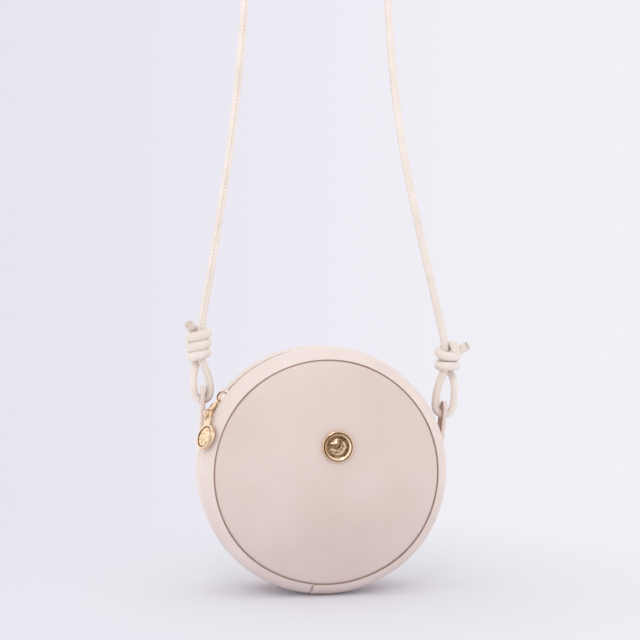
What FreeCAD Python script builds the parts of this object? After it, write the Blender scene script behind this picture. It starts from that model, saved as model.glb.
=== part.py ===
import FreeCAD, Part
import math
import os
from FreeCAD import Vector

os.makedirs("parts", exist_ok=True)

# The round bag stands on its rim with its axis along Y, its front at -Y and +Z up.
# The origin is under the top of the strap, where a hand or a hook carries it.

# Bag
bag_radius = 90.0
bag_depth = 70.0
bag_drop = 480.0
leather = 1.5
layer_gap = 0.1
overrun = 20.0
# The bag hangs a little turned, its left tab higher than its right
bag_roll = 4.0

# Gusset rings: a tight roll to the panel seam, and a slow fall into the zip valley
seam_width = 9.0
crest_depth = 19.0
valley_drop = 2.4
mouth_half_gap = 5.2
seam_turn_in = 4.0
join_groove_width = 0.8
join_groove_depth = 0.6
join_angle = 263.5
gusset_foam_thick = 4.0
gusset_board_thick = 1.0
gusset_board_start = 11.0
gusset_board_setback = 6.5
lining = 0.6
lining_half_mouth = 6.4

# Panels
seam_gap = 0.6
front_rise = 7.0
front_edge_roll = 3.0
back_rise = 2.5
edge_setback = 1.0
panel_board = 1.2
board_edge_gap = 0.3

# Strip that closes the gusset below the zip
strip_half_width = 10.0
strip_start_angle = 155.0
strip_end_angle = 386.0

# Zip
tape = 0.6
tape_inner_edge = 1.7
tape_outer_edge = 9.8
tape_start_angle = 29.0
tape_end_angle = 153.0
tooth_pitch = 3.0
teeth_start_angle = 36.0
teeth_end_angle = 142.8
tooth_thick = 1.3
tooth_height = 3.0
tooth_head = 1.4
tooth_head_height = 1.8
tooth_shoulder = 0.4
tooth_jaw = 1.5
tooth_bite_gap = 0.05
stop_thick = 2.2
stop_inner_edge = 0.2
stop_closed_angle = 150.3
stop_open_angle = 32.0

# Slider, drawn at the top of the bag and turned to its place
slider_angle = 143.6
slider_length = 12.4
slider_half_width = 4.7
slider_tail_half_width = 4.2
slider_nose_half_width = 2.6
slider_shoulder_share = 0.3
slider_plate = 1.4
slider_teeth_gap = 0.5
slider_flange = 0.7
slider_flange_height = 1.0
slider_flange_share = 0.62
wedge_half_width = 1.3
wedge_length = 4.4
wedge_setback = 0.6
wedge_widest_share = 0.4
bridge_length = 8.6
bridge_height = 4.4
bridge_leg = 1.9
bridge_thick = 1.3
bridge_half_width = 1.1

# Pull link: a stirrup through the bridge, drawn out to an eye
link_wire = 1.6
link_half_width = 2.3
link_straight = 3.5
link_seat_gap = 0.45
link_bar_gap = 0.3
link_neck_out = 5.0
link_neck_side = 8.6
link_neck_lift = 0.8
link_neck_radius = 1.4
link_eye_out = 13.4
link_eye_side = 20.4
link_eye_lift = 2.3
eye_outer_radius = 3.4
eye_inner_radius = 1.9
eye_thick = 1.9

# Medallion
medal_radius = 9.25
medal_thick = 3.2
medal_rim = 1.6
medal_recess = 0.7
medal_edge_round = 0.6
medal_boss_radius = 4.2
medal_boss_rise = 0.5
medal_out = 2.4
medal_forward = 8.2
medal_down = 15.5
medal_face_angle = 63.0
bail_half_width = 2.8
bail_wire = 1.5
bail_bury = 1.2
bail_hang = 0.68

# Side tabs, sewn on the strip in the valley, each leaning out a little
tab_thick = 3.3
tab_width = 10.0
tab_top_width = 14.0
tab_flare_start = 22.0
tab_flare_end = 32.0
tab_seat_gap = 0.1
tab_lap_angle = 16.0
tab_lean = 2.5
tab_hole_height = 49.0
tab_hole_radius = 4.0
tab_above_hole = 10.0

# Ornament on the front panel
ornament_x = 6.0
ornament_z = 19.5
ornament_radius = 11.3
ornament_bore = 8.1
ornament_height = 3.2
ornament_edge_round = 1.3
ornament_slope = 1.3
ornament_lip = 1.2
ornament_floor = 0.8
inlay_edge = 0.6
inlay_fit = 0.05
inlay_dome_radius = 5.8
inlay_dome_rise = 1.1
post_radius = 1.5
post_fit = 0.1
post_head_radius = 2.6
post_head_thick = 0.5
washer_radius = 6.0
washer_thick = 0.8

# Strap: one rolled leather cord, tied in a loop through each tab
cord_diameter = 5.6
wrap_radius = 7.4
wrap_pitch = 6.6
wrap_steps_per_turn = 4
tail_length = 7.0
strand_lead = 6.5
strap_top_half_width = 13.0
bend_share = 0.45
samples_per_diameter = 4

# The strap's legs in the plane of the tab holes, X and Z from the middle of the bag
left_leg = [
    (-84.2, 122.0), (-77.6, 160.0), (-66.5, 230.0), (-58.6, 298.0), (-54.2, 360.0), (-51.5, 425.0),
    (-38.0, 460.0),
]
right_leg = [
    (38.0, 460.0), (50.2, 425.0), (50.4, 362.0), (53.0, 305.0), (61.8, 235.0), (77.4, 165.0), (86.8, 125.0),
]
# Each loop from its knot's strand through the tab hole to the leg, X and Z from the hole
left_loop = [
    (-6.2, 8.2), (-5.8, 3.4), (-2.4, 0.0), (2.4, -0.1), (5.5, 3.3), (5.8, 11.2), (3.0, 20.7), (-1.1, 29.7),
    (-2.0, 40.2), (-0.7, 53.2),
]
right_loop = [
    (8.5, 10.2), (7.9, 3.8), (3.4, -0.4), (-2.4, 0.3), (-5.8, 4.1), (-5.1, 14.8), (-2.5, 23.8), (1.3, 32.8),
    (2.3, 43.3), (1.5, 54.3), (-1.5, 67.8),
]
# Each knot from the tab hole: its strand, the axis and first height of its wraps, and its tail
left_knot = {
    "strand": (-6.6, 22.0), "axis_x": -2.6, "first_height": 32.3,
    "half_turns": 5, "sense": 1, "tail": (-8.9, -1.4, 53.1), "tail_way": (-0.35, -0.25, 0.90),
}
right_knot = {
    "strand": (9.5, 24.8), "axis_x": 2.9, "first_height": 36.8,
    "half_turns": 3, "sense": -1, "tail": (10.7, -0.6, 50.0), "tail_way": (0.76, -0.15, 0.63),
}

centre = Vector(0, 0, 0)
bag_axis = Vector(0, 1, 0)
full_turn = math.degrees(2 * math.pi)
half_depth = bag_depth / 2
seam_radius = bag_radius - seam_width
gusset_board_end = half_depth - gusset_board_setback
cord_radius = cord_diameter / 2

# Gusset section: both arcs are level at the crest
roll_reach = half_depth - crest_depth
roll_width = bag_radius - seam_radius
roll_radius = (roll_reach**2 + roll_width**2) / (2 * roll_width)
fall_reach = crest_depth - mouth_half_gap
fall_radius = (fall_reach**2 + valley_drop**2) / (2 * valley_drop)
foam_bottom = bag_radius - leather - layer_gap - gusset_foam_thick
gusset_board_top = foam_bottom - layer_gap
gusset_board_bottom = gusset_board_top - gusset_board_thick
lining_top = gusset_board_bottom - layer_gap
lining_bottom = lining_top - lining

# Depths of the layers behind a panel, counted from the middle of the bag
turn_in_end = half_depth - seam_turn_in
lining_face = turn_in_end - layer_gap
board_face = turn_in_end + panel_board
foam_face = board_face + layer_gap
panel_radius = seam_radius - seam_gap
board_radius = panel_radius - leather - board_edge_gap
edge_depth = half_depth - edge_setback
back_edge_roll = back_rise + edge_setback

# Levels of the zip along the radius
mouth_inner_radius = bag_radius - valley_drop - leather
tape_top = mouth_inner_radius - layer_gap
tape_bottom = tape_top - tape
tape_middle = tape_top - tape / 2
strip_bottom = tape_top - leather
strip_lining_top = strip_bottom - layer_gap
tooth_pitch_angle = math.degrees(tooth_pitch / tape_middle)
teeth_count = 1 + int((teeth_end_angle - teeth_start_angle) / tooth_pitch_angle)
teeth_top = tape_middle + tooth_height / 2
teeth_bottom = tape_middle - tooth_height / 2
upper_plate = teeth_top + slider_teeth_gap
lower_plate = teeth_bottom - slider_teeth_gap
slider_top = upper_plate + slider_plate
slider_end = slider_length / 2


def write(name, shape):
    placed = shape.copy()
    placed.translate(Vector(0, 0, -bag_drop))
    placed.exportStep(os.path.join("parts", name + ".step"))
    print(name, len(placed.Solids), placed.isValid(), round(placed.Volume, 1))


def line(a, b):
    return Part.LineSegment(a, b).toShape()


def arc(a, middle, b):
    return Part.Arc(a, middle, b).toShape()


def outline(points):
    return [line(a, b) for a, b in zip(points, points[1:] + points[:1])]


def face_of(edges):
    return Part.Face(Part.Wire(edges))


def block(low, high):
    return Part.makeBox(high.x - low.x, high.y - low.y, high.z - low.z, low)


def fused(shapes):
    return shapes[0].multiFuse(shapes[1:]).removeSplitter()


def revolved(edges, start_angle=0, end_angle=full_turn):
    # Sections are drawn with X as the radius and Y as the depth, and swept over polar angles
    # that run from +X over the top of the bag
    swept = face_of(edges).revolve(centre, -bag_axis, end_angle - start_angle)
    swept.rotate(centre, -bag_axis, start_angle)
    return swept


def ring(inner, outer, near, far, start_angle=0, end_angle=full_turn):
    corners = [Vector(inner, near), Vector(outer, near), Vector(outer, far), Vector(inner, far)]
    return revolved(outline(corners), start_angle, end_angle)


def disc(radius, near, far):
    return Part.makeCylinder(radius, far - near, Vector(0, near, 0), bag_axis)


def to_angle(shape, angle):
    # From the top of the bag to a polar angle
    copy = shape.copy()
    copy.rotate(centre, -bag_axis, angle - full_turn / 4)
    return copy


def point_to_angle(point, angle):
    return FreeCAD.Rotation(-bag_axis, angle - full_turn / 4).multVec(point)


def behind(shape):
    return shape.mirror(centre, bag_axis)


# Gusset
def section_point(depth, inset):
    radius = roll_radius if depth < -crest_depth else fall_radius
    across = math.sqrt((radius - inset)**2 - (depth + crest_depth)**2)
    return Vector(bag_radius - radius + across, depth)


def section_arc(start, end, inset):
    middle = (start + end) / 2
    return arc(section_point(start, inset), section_point(middle, inset), section_point(end, inset))


def gusset_ring():
    seam_inner = seam_radius + leather
    reach = seam_inner - bag_radius + roll_radius
    fold_depth = -crest_depth - math.sqrt((roll_radius - leather)**2 - reach**2)
    section = [
        line(Vector(seam_radius, -turn_in_end), Vector(seam_radius, -half_depth)),
        section_arc(-half_depth, -crest_depth, 0),
        section_arc(-crest_depth, -mouth_half_gap, 0),
        line(section_point(-mouth_half_gap, 0), section_point(-mouth_half_gap, leather)),
        section_arc(-mouth_half_gap, -crest_depth, leather),
        section_arc(-crest_depth, fold_depth, leather),
        line(Vector(seam_inner, fold_depth), Vector(seam_inner, -turn_in_end)),
        line(Vector(seam_inner, -turn_in_end), Vector(seam_radius, -turn_in_end)),
    ]
    # The ends of the leather meet near the bottom in a shallow groove
    half_groove = math.degrees(join_groove_width / bag_radius) / 2
    outside = bag_radius + overrun
    groove = revolved([
        section_arc(-half_depth, -crest_depth, join_groove_depth),
        section_arc(-crest_depth, -mouth_half_gap, join_groove_depth),
        line(section_point(-mouth_half_gap, join_groove_depth), Vector(outside, -mouth_half_gap)),
        line(Vector(outside, -mouth_half_gap), Vector(outside, -half_depth)),
        line(Vector(outside, -half_depth), section_point(-half_depth, join_groove_depth)),
    ], join_angle - half_groove, join_angle + half_groove)
    return revolved(section).cut(groove)


def gusset_foam():
    inset = leather + layer_gap
    start = -gusset_board_end
    end = -gusset_board_start
    return revolved([
        section_arc(start, -crest_depth, inset),
        section_arc(-crest_depth, end, inset),
        line(section_point(end, inset), Vector(foam_bottom, end)),
        line(Vector(foam_bottom, end), Vector(foam_bottom, start)),
        line(Vector(foam_bottom, start), section_point(start, inset)),
    ])


def lining_cup():
    floor = lining_face - lining
    return revolved(outline([
        Vector(0, -lining_face), Vector(lining_top, -lining_face),
        Vector(lining_top, -lining_half_mouth), Vector(lining_bottom, -lining_half_mouth),
        Vector(lining_bottom, -floor), Vector(0, -floor),
    ]))


# Panels
roll_centre_radius = panel_radius - front_edge_roll
dome_height = front_rise + edge_setback
dome_radius = (roll_centre_radius**2 + dome_height**2 - front_edge_roll**2) / (
    2 * (dome_height - front_edge_roll))
dome_centre = Vector(0, -half_depth - front_rise + dome_radius)
roll_centre = Vector(roll_centre_radius, -edge_depth)
roll_way = (roll_centre - dome_centre).normalize()


def dome_depth(radius, inset=0):
    return dome_centre.y - math.sqrt((dome_radius - inset)**2 - radius**2)


def dome_arc(inset, outwards=True):
    end = roll_centre + roll_way * (front_edge_roll - inset)
    middle = Vector(end.x / 2, dome_depth(end.x / 2, inset))
    top = Vector(0, dome_depth(0, inset))
    return arc(top, middle, end) if outwards else arc(end, middle, top)


def roll_arc(centre_point, way, radius, outwards=True):
    start = centre_point + way * radius
    end = centre_point + Vector(radius, 0)
    middle = centre_point + (way + Vector(1, 0)).normalize() * radius
    return arc(start, middle, end) if outwards else arc(end, middle, start)


def panel_turn_in():
    outer_edge = Vector(panel_radius, -edge_depth)
    outer_end = Vector(panel_radius, -turn_in_end)
    inner_end = Vector(panel_radius - leather, -turn_in_end)
    inner_edge = Vector(panel_radius - leather, -edge_depth)
    return [line(outer_edge, outer_end), line(outer_end, inner_end), line(inner_end, inner_edge)]


def front_panel():
    inner_roll = front_edge_roll - leather
    section = [dome_arc(0), roll_arc(roll_centre, roll_way, front_edge_roll)]
    section += panel_turn_in()
    section += [roll_arc(roll_centre, roll_way, inner_roll, False), dome_arc(leather, False)]
    section.append(line(Vector(0, dome_depth(0, leather)), Vector(0, dome_depth(0))))
    return revolved(section)


def front_foam():
    inset = leather + layer_gap
    edge = roll_centre + roll_way * (front_edge_roll - inset)
    return revolved([
        dome_arc(inset),
        line(edge, Vector(edge.x, -foam_face)),
        line(Vector(edge.x, -foam_face), Vector(0, -foam_face)),
        line(Vector(0, -foam_face), Vector(0, dome_depth(0, inset))),
    ])


def back_panel():
    # Drawn as a front panel with a flat face, then turned to the back
    level = -half_depth - back_rise
    corner = Vector(panel_radius - back_edge_roll, -edge_depth)
    up = Vector(0, -1)
    section = [line(Vector(0, level), Vector(corner.x, level)), roll_arc(corner, up, back_edge_roll)]
    section += panel_turn_in()
    section.append(roll_arc(corner, up, back_edge_roll - leather, False))
    section.append(line(Vector(corner.x, level + leather), Vector(0, level + leather)))
    section.append(line(Vector(0, level + leather), Vector(0, level)))
    return behind(revolved(section))


def panel_cover():
    # Everything under the front panel's outer face, to seat the ornament
    return revolved([
        dome_arc(-layer_gap),
        line(roll_centre + roll_way * (front_edge_roll + layer_gap), Vector(roll_centre.x, 0)),
        line(Vector(roll_centre.x, 0), centre),
        line(centre, Vector(0, dome_depth(0, -layer_gap))),
    ])


# Ornament
ornament_place = Vector(ornament_x, 0, ornament_z)
ornament_level = dome_depth(ornament_place.Length)
ornament_base = ornament_level + ornament_floor
washer_back = -foam_face - post_head_thick
inlay_level = ornament_level - ornament_floor - layer_gap - inlay_edge


def at_ornament(shape):
    copy = shape.copy()
    copy.translate(ornament_place)
    return copy


def ornament_cup():
    top = ornament_level - ornament_height
    floor = ornament_level - ornament_floor
    edge = Vector(ornament_radius - ornament_edge_round, top + ornament_edge_round)
    up = Vector(0, -1)
    cup = at_ornament(revolved([
        line(Vector(0, ornament_base), Vector(0, floor)),
        line(Vector(0, floor), Vector(ornament_bore, floor)),
        line(Vector(ornament_bore, floor), Vector(ornament_bore, floor - ornament_lip)),
        line(Vector(ornament_bore, floor - ornament_lip), Vector(ornament_bore + ornament_slope, top)),
        line(Vector(ornament_bore + ornament_slope, top), Vector(edge.x, top)),
        roll_arc(edge, up, ornament_edge_round),
        line(Vector(ornament_radius, edge.y), Vector(ornament_radius, ornament_base)),
        line(Vector(ornament_radius, ornament_base), Vector(0, ornament_base)),
    ]))
    post = at_ornament(disc(post_radius, ornament_level - ornament_floor, -foam_face))
    head = at_ornament(disc(post_head_radius, washer_back, -foam_face))
    return fused([cup.cut(panel_cover()), post, head])


def ornament_inlay():
    floor = ornament_level - ornament_floor - layer_gap
    rim = ornament_bore - inlay_fit
    sphere = (inlay_dome_radius**2 + inlay_dome_rise**2) / (2 * inlay_dome_rise)
    half = inlay_dome_radius / 2
    half_rise = inlay_dome_rise - sphere + math.sqrt(sphere**2 - half**2)
    return at_ornament(revolved([
        line(Vector(0, floor), Vector(rim, floor)),
        line(Vector(rim, floor), Vector(rim, inlay_level)),
        line(Vector(rim, inlay_level), Vector(inlay_dome_radius, inlay_level)),
        arc(Vector(inlay_dome_radius, inlay_level), Vector(half, inlay_level - half_rise),
            Vector(0, inlay_level - inlay_dome_rise)),
        line(Vector(0, inlay_level - inlay_dome_rise), Vector(0, floor)),
    ]))


def ornament_washer():
    washer = disc(washer_radius, washer_back - washer_thick, washer_back)
    bore = disc(post_radius + post_fit, washer_back - overrun, washer_back + overrun)
    return at_ornament(washer.cut(bore))


def post_hole():
    return at_ornament(disc(post_radius + post_fit, ornament_level - overrun, 0))


def washer_pocket():
    return at_ornament(disc(washer_radius + post_fit, washer_back - washer_thick - layer_gap, 0))


# Zip
def tooth(side, head, thick):
    # Side is -1 in front of the zip and 1 behind it; the jaws hold the edge of the tape
    jaw = tape_inner_edge + tooth_jaw
    root = tape_inner_edge - tooth_bite_gap
    bite_top = tape_top + tooth_bite_gap
    bite_bottom = tape_bottom - tooth_bite_gap
    head_half = tooth_head_height / 2
    places = [
        (jaw, teeth_top), (tooth_shoulder, teeth_top), (-head, tape_middle + head_half),
        (-head, tape_middle - head_half), (tooth_shoulder, teeth_bottom), (jaw, teeth_bottom),
        (jaw, bite_bottom), (root, bite_bottom), (root, bite_top), (jaw, bite_top),
    ]
    points = [Vector(-thick / 2, side * across, level) for across, level in places]
    return face_of(outline(points)).extrude(Vector(thick, 0, 0))


def teeth_row(side):
    first = teeth_end_angle - (tooth_pitch_angle / 2 if side < 0 else 0)
    one = tooth(side, tooth_head, tooth_thick)
    angles = [first - tooth_pitch_angle * number for number in range(teeth_count)]
    return Part.makeCompound([to_angle(one, angle) for angle in angles])


def zip_stops():
    front = tooth(-1, -stop_inner_edge, stop_thick)
    back = tooth(1, -stop_inner_edge, stop_thick)
    shut = fused([tooth(-1, 0, stop_thick), tooth(1, 0, stop_thick)])
    placed = [to_angle(stop, stop_closed_angle) for stop in (front, back)]
    return Part.makeCompound(placed + [to_angle(shut, stop_open_angle)])


def zip_tape(side):
    near = side * tape_inner_edge
    far = side * tape_outer_edge
    return ring(tape_bottom, tape_top, near, far, tape_start_angle, tape_end_angle)


# Slider
def slider_plate_at(level):
    shoulder = -slider_end + slider_shoulder_share * slider_length
    half = [(slider_end, slider_tail_half_width), (shoulder, slider_half_width),
            (-slider_end, slider_nose_half_width)]
    places = half + [(x, -y) for x, y in reversed(half)]
    plate = face_of(outline([Vector(x, y, level) for x, y in places]))
    return plate.extrude(Vector(0, 0, slider_plate))


def slider_bridge():
    half = bridge_length / 2
    inner = half - bridge_thick
    foot = slider_top
    knee = foot + bridge_leg
    top = foot + bridge_height
    side = -bridge_half_width
    arch = face_of([
        line(Vector(-half, side, foot), Vector(-half, side, knee)),
        arc(Vector(-half, side, knee), Vector(0, side, top), Vector(half, side, knee)),
        line(Vector(half, side, knee), Vector(half, side, foot)),
        line(Vector(half, side, foot), Vector(inner, side, foot)),
        line(Vector(inner, side, foot), Vector(inner, side, knee)),
        arc(Vector(inner, side, knee), Vector(0, side, top - bridge_thick), Vector(-inner, side, knee)),
        line(Vector(-inner, side, knee), Vector(-inner, side, foot)),
        line(Vector(-inner, side, foot), Vector(-half, side, foot)),
    ])
    return arch.extrude(Vector(0, 2 * bridge_half_width, 0))


def zip_slider():
    wedge_nose = -slider_end + wedge_setback
    wedge_wide = wedge_nose + wedge_widest_share * wedge_length
    wedge_places = [(wedge_nose, 0), (wedge_wide, wedge_half_width), (wedge_nose + wedge_length, 0),
                    (wedge_wide, -wedge_half_width)]
    wedge = face_of(outline([Vector(x, y, lower_plate) for x, y in wedge_places]))
    pieces = [
        slider_plate_at(upper_plate), slider_plate_at(lower_plate - slider_plate), slider_bridge(),
        wedge.extrude(Vector(0, 0, upper_plate - lower_plate)),
    ]
    flange_start = slider_end - slider_flange_share * slider_length
    flange_inner = slider_tail_half_width - slider_flange
    for side in (-1, 1):
        near, far = sorted((side * flange_inner, side * slider_tail_half_width))
        pieces.append(block(Vector(flange_start, near, upper_plate - slider_flange_height),
                            Vector(slider_end, far, upper_plate)))
        pieces.append(block(Vector(flange_start, near, lower_plate),
                            Vector(slider_end, far, lower_plate + slider_flange_height)))
    return to_angle(fused(pieces), slider_angle)


# Cords and wires
def rounded_route(points):
    # Straight runs joined by arcs as large as the runs allow
    edges = []
    radii = []
    start = points[0]
    for before, corner, after in zip(points, points[1:], points[2:]):
        way_in = (corner - before).normalize()
        way_out = (after - corner).normalize()
        half_turn = way_in.getAngle(way_out) / 2
        tangent = bend_share * min((corner - before).Length, (after - corner).Length)
        radius = tangent / math.tan(half_turn)
        bend_in = corner - way_in * tangent
        bend_out = corner + way_out * tangent
        to_middle = (way_out - way_in).normalize()
        middle = corner + to_middle * radius * (1 / math.cos(half_turn) - 1)
        edges += [line(start, bend_in), arc(bend_in, middle, bend_out)]
        radii.append(radius)
        start = bend_out
    edges.append(line(start, points[-1]))
    return edges, radii


def tangent_arc(start, way, end):
    chord = end - start
    along = chord.normalize()
    span = (end - start).Length
    side = way - along * way.dot(along)
    bulge = span / 2 * math.tan(way.getAngle(along) / 2)
    return arc(start, start + (end - start) / 2 + side.normalize() * bulge, end)


def biarc(start, start_way, end, end_way):
    across = end - start
    ways = start_way + end_way
    turn = 2 * (1 - start_way.dot(end_way))
    lead = (-across.dot(ways) + math.sqrt(across.dot(ways)**2 + turn * across.dot(across))) / turn
    joint = (start + end + (start_way - end_way) * lead) / 2
    first = tangent_arc(start, start_way, joint)
    joint_way = (end - end_way * lead - joint).normalize()
    return [first, tangent_arc(joint, joint_way, end)]


def tube(edges, diameter):
    path = Part.Wire(edges)
    first = edges[0]
    start = first.valueAt(first.FirstParameter)
    way = first.tangentAt(first.FirstParameter)
    section = Part.Wire(Part.Circle(start, way, diameter / 2).toShape())
    return path.makePipeShell([section], True, False), path


def in_strap_plane(places, hole=centre):
    return [hole + Vector(x, 0, z) for x, z in places]


def knot_edges(knot, loop, hole):
    # The strand goes on in the line of the loop's end
    end, before = in_strap_plane(loop[:2], hole)
    lead = end + (end - before).normalize() * strand_lead
    strand = [end, lead] + in_strap_plane([knot["strand"]], hole)
    edges, radii = rounded_route(strand)
    point = strand[-1]
    way = (strand[-1] - strand[-2]).normalize()
    steps = knot["half_turns"] * wrap_steps_per_turn // 2
    for step in range(steps + 1):
        # The wraps start at the front, and climb from the loop to the tail
        turn = 2 * math.pi * step / wrap_steps_per_turn
        offset = Vector(knot["sense"] * math.sin(turn), -math.cos(turn), 0) * wrap_radius
        height = knot["first_height"] + wrap_pitch * step / wrap_steps_per_turn
        next_point = hole + Vector(knot["axis_x"], 0, height) + offset
        climb = wrap_pitch / (2 * math.pi)
        next_way = Vector(knot["sense"] * math.cos(turn), math.sin(turn), 0) * wrap_radius
        next_way = (next_way + Vector(0, 0, climb)).normalize()
        edges += biarc(point, way, next_point, next_way)
        point = next_point
        way = next_way
    tail = hole + Vector(knot["tail"])
    tail_way = Vector(knot["tail_way"]).normalize()
    edges += biarc(point, way, tail, tail_way)
    edges.append(line(tail, tail + tail_way * tail_length))
    return edges


def path_points(path):
    return path.discretize(Distance=cord_diameter / samples_per_diameter)


def least_gap(points):
    apart = int(samples_per_diameter * math.pi)
    least = min((a - b).Length for i, a in enumerate(points) for b in points[i + apart:])
    return least - cord_diameter


def report_tube(name, solid, path, diameter):
    expected = math.pi * diameter**2 / 4 * path.Length
    print(name, "length", round(path.Length, 1), "volume over section times length",
          round(solid.Volume / expected, 4))


# Pull link
bar_place = Vector(-(bridge_length / 2 - bridge_thick - link_bar_gap - link_wire / 2), 0,
                   slider_top + link_seat_gap + link_wire / 2)
neck_place = bar_place + Vector(-link_neck_out, -link_neck_side, link_neck_lift)
eye_place = bar_place + Vector(-link_eye_out, -link_eye_side, link_eye_lift)
eye_point = point_to_angle(eye_place, slider_angle)
medal_fall = Vector(-medal_out, -medal_forward, -medal_down)
medal_way = Vector(medal_fall).normalize()
face_turn = math.radians(medal_face_angle)
pin_level = Vector(math.cos(face_turn), -math.sin(face_turn), 0)
pin_way = (pin_level - medal_way * pin_level.dot(medal_way)).normalize()
face_way = medal_way.cross(pin_way)
pin_point = eye_point + medal_way * bail_hang
medal_point = pin_point + medal_fall


def link_arm(side):
    # Half of the stirrup, from the middle of its bar to the neck
    bar_end = bar_place + Vector(0, side * link_half_width, 0)
    edges, radii = rounded_route([bar_place, bar_end, bar_end + Vector(-link_straight, 0, 0), neck_place])
    return tube(edges, link_wire)[0]


def pull_link():
    neck = Part.makeSphere(link_neck_radius, neck_place)
    stem_way = eye_place - neck_place
    stem_length = stem_way.Length - (eye_inner_radius + eye_outer_radius) / 2
    stem = Part.makeCylinder(link_neck_radius, stem_length, neck_place, stem_way)
    upper = to_angle(fused([link_arm(-1), link_arm(1), neck, stem]), slider_angle)
    eye_start = eye_point - pin_way * (eye_thick / 2)
    eye = Part.makeCylinder(eye_outer_radius, eye_thick, eye_start, pin_way)
    bore_start = eye_point - pin_way * overrun
    bore = Part.makeCylinder(eye_inner_radius, 2 * overrun, bore_start, pin_way)
    return fused([upper, eye]).cut(bore)


def medallion():
    half = medal_thick / 2
    level = half - medal_recess
    inner = medal_radius - medal_rim
    sphere = (medal_boss_radius**2 + medal_boss_rise**2) / (2 * medal_boss_rise)
    chord = medal_boss_radius / 2
    chord_rise = medal_boss_rise - sphere + math.sqrt(sphere**2 - chord**2)
    rim_top = Vector(medal_radius - medal_edge_round, half - medal_edge_round)
    round_in = Vector(inner + medal_edge_round, half - medal_edge_round)
    diagonal = medal_edge_round / math.sqrt(2)
    upper = [
        arc(Vector(0, level + medal_boss_rise), Vector(chord, level + chord_rise),
            Vector(medal_boss_radius, level)),
        line(Vector(medal_boss_radius, level), Vector(inner, level)),
        line(Vector(inner, level), Vector(inner, round_in.y)),
        arc(Vector(inner, round_in.y), round_in + Vector(-diagonal, diagonal), Vector(round_in.x, half)),
        line(Vector(round_in.x, half), Vector(rim_top.x, half)),
        arc(Vector(rim_top.x, half), rim_top + Vector(diagonal, diagonal), Vector(medal_radius, rim_top.y)),
        line(Vector(medal_radius, rim_top.y), Vector(medal_radius, 0)),
        line(Vector(medal_radius, 0), Vector(0, 0)),
        line(Vector(0, 0), Vector(0, level + medal_boss_rise)),
    ]
    side = revolved(upper)
    coin = side.fuse(behind(side)).removeSplitter()
    # The coin's own axis turns to the face's direction
    coin.Placement = FreeCAD.Placement(medal_point, FreeCAD.Rotation(bag_axis, face_way))
    leg_end = medal_radius - bail_bury
    corners = []
    for side_sign in (-1, 1):
        foot = medal_point - medal_way * leg_end + pin_way * (side_sign * bail_half_width)
        knee = pin_point + pin_way * (side_sign * bail_half_width)
        corners.append((foot, knee))
    bail_points = [corners[0][0], corners[0][1], corners[1][1], corners[1][0]]
    edges, radii = rounded_route(bail_points)
    bail, path = tube(edges, bail_wire)
    return fused([coin, bail])


# Tabs
tab_inner_radius = tape_top + tab_seat_gap
tab_outer_radius = tab_inner_radius + tab_thick
tab_top = tab_hole_height + tab_above_hole
hole_place = Vector((tab_inner_radius + tab_outer_radius) / 2, 0, tab_hole_height)
right_turn = FreeCAD.Rotation(bag_axis, bag_roll + tab_lean)
left_turn = FreeCAD.Rotation(bag_axis, bag_roll - tab_lean)
right_hole = right_turn.multVec(hole_place)
left_hole = left_turn.multVec(Vector(-hole_place.x, 0, hole_place.z))
hang_way = (right_hole - left_hole).normalize()
hang_middle = (right_hole + left_hole) / 2


def on_tab(radius, lap):
    return Vector(radius * math.cos(lap), 0, -radius * math.sin(lap))


def right_tab():
    lap = math.radians(tab_lap_angle)
    profile = face_of([
        arc(on_tab(tab_outer_radius, lap), on_tab(tab_outer_radius, lap / 2), on_tab(tab_outer_radius, 0)),
        line(Vector(tab_outer_radius, 0, 0), Vector(tab_outer_radius, 0, tab_top)),
        line(Vector(tab_outer_radius, 0, tab_top), Vector(tab_inner_radius, 0, tab_top)),
        line(Vector(tab_inner_radius, 0, tab_top), Vector(tab_inner_radius, 0, 0)),
        arc(on_tab(tab_inner_radius, 0), on_tab(tab_inner_radius, lap / 2), on_tab(tab_inner_radius, lap)),
        line(on_tab(tab_inner_radius, lap), on_tab(tab_outer_radius, lap)),
    ])
    half = tab_top_width / 2
    strip = profile.extrude(Vector(0, tab_top_width, 0))
    strip.translate(Vector(0, -half, 0))
    # Narrow between the gusset rings, wider above them, with a round end
    narrow = tab_width / 2
    round_level = tab_top - half
    places = [(narrow, -bag_radius), (narrow, tab_flare_start), (half, tab_flare_end), (half, round_level)]
    right_side = [Vector(0, y, z) for y, z in places]
    left_side = [Vector(0, -y, z) for y, z in reversed(places)]
    edges = [line(a, b) for a, b in zip(right_side, right_side[1:])]
    edges.append(arc(right_side[-1], Vector(0, 0, tab_top), left_side[0]))
    edges += [line(a, b) for a, b in zip(left_side, left_side[1:])]
    edges.append(line(left_side[-1], right_side[0]))
    return strip.common(face_of(edges).extrude(Vector(bag_radius + overrun, 0, 0)))


def tab_hole(place):
    # Both holes lie along the line that the bag hangs from
    return Part.makeCylinder(tab_hole_radius, 2 * overrun, place - hang_way * overrun, hang_way)


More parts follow.
